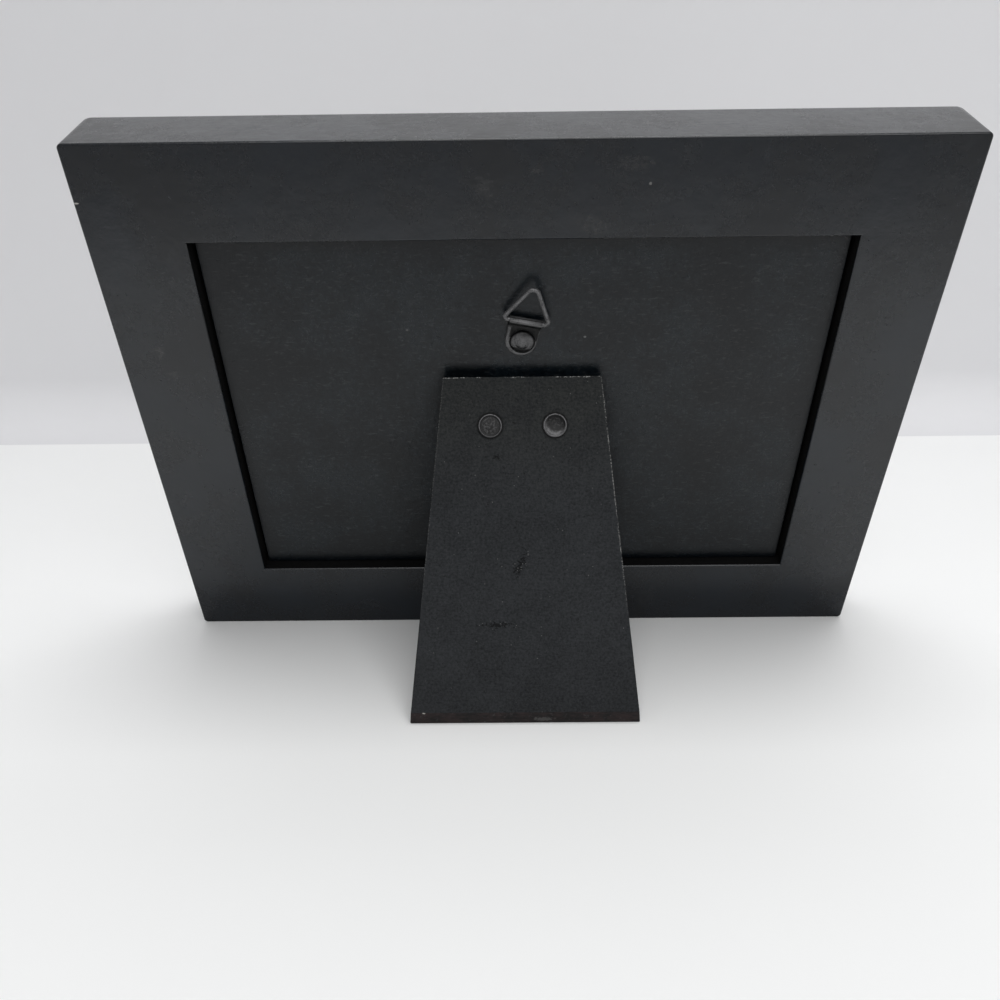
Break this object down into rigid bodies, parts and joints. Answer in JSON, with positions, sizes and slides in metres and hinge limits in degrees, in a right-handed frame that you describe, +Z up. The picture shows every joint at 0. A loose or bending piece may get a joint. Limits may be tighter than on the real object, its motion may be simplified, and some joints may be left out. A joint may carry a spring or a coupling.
{
  "type": "picture frame",
  "caption": "Small landscape picture frame of mitred black moulding with glass, a lift-out back, a hinged easel leg for a table and a wire hanging ring for a wall.",
  "frame": {"origin": "on the table, in the middle of the space that the standing frame takes up", "axes": "+Z up, +X along the frame's width, to the right as seen from the front, +Y towards the back, where the leg and the hanger are"},
  "size_m": [0.2, 0.0732, 0.1478],
  "materials": {
    "moulding": "satin black paint on wood",
    "black_board": "black faced fibre board",
    "paper_faced_board": "fibre board faced with black grained paper",
    "bright_steel": "bright plated steel",
    "black_steel": "satin black lacquered steel",
    "clear_glass": "clear polished",
    "white_paper": "matt uncoated",
    "brown_card": "plain"
  },
  "bodies": {
    "frame": {"rail_bottom": "moulding", "rail_right": "moulding", "rail_top": "moulding", "rail_left": "moulding", "v_nail_bottom_left_outer": "bright_steel", "v_nail_bottom_left_inner": "bright_steel", "v_nail_bottom_right_outer": "bright_steel", "v_nail_bottom_right_inner": "bright_steel", "v_nail_top_right_outer": "bright_steel", "v_nail_top_right_inner": "bright_steel", "v_nail_top_left_outer": "bright_steel", "v_nail_top_left_inner": "bright_steel", "glass": "clear_glass", "print": "white_paper", "filler_card": "brown_card"},
    "back": {"back_panel": "black_board", "hinge_panel_leaf": "black_steel", "hinge_pin": "black_steel", "panel_rivet_left": "black_steel", "panel_rivet_right": "black_steel", "hanger_rivet": "black_steel"},
    "leg": {"leg": "paper_faced_board", "hinge_leg_leaf": "black_steel", "leg_rivet_left": "black_steel", "leg_rivet_right": "black_steel"},
    "strap": {"hanger_strap": "black_steel"},
    "ring": {"hanger_ring": "black_steel"}
  },
  "joints": [
    {"name": "back_lift", "type": "slide", "parent": "frame", "child": "back", "axis": [0, 0.9505, -0.3107], "range_m": [0, 0.03]},
    {"name": "leg_fold", "type": "hinge", "parent": "back", "child": "leg", "pos_m": [0, 0.00544, 0.078], "axis": [1, 0, 0], "range_deg": [-37, 0]},
    {"name": "hanger_swivel", "type": "hinge", "parent": "back", "child": "strap", "pos_m": [0, 0.0087, 0.09503], "axis": [0, 0.9505, -0.3107], "range_deg": [-65, 88]},
    {"name": "ring_swing", "type": "hinge", "parent": "strap", "child": "ring", "pos_m": [-0.00088, 0.01203, 0.10009], "axis": [-0.9799, -0.0619, -0.1895], "range_deg": [-8, 140]}
  ]
}
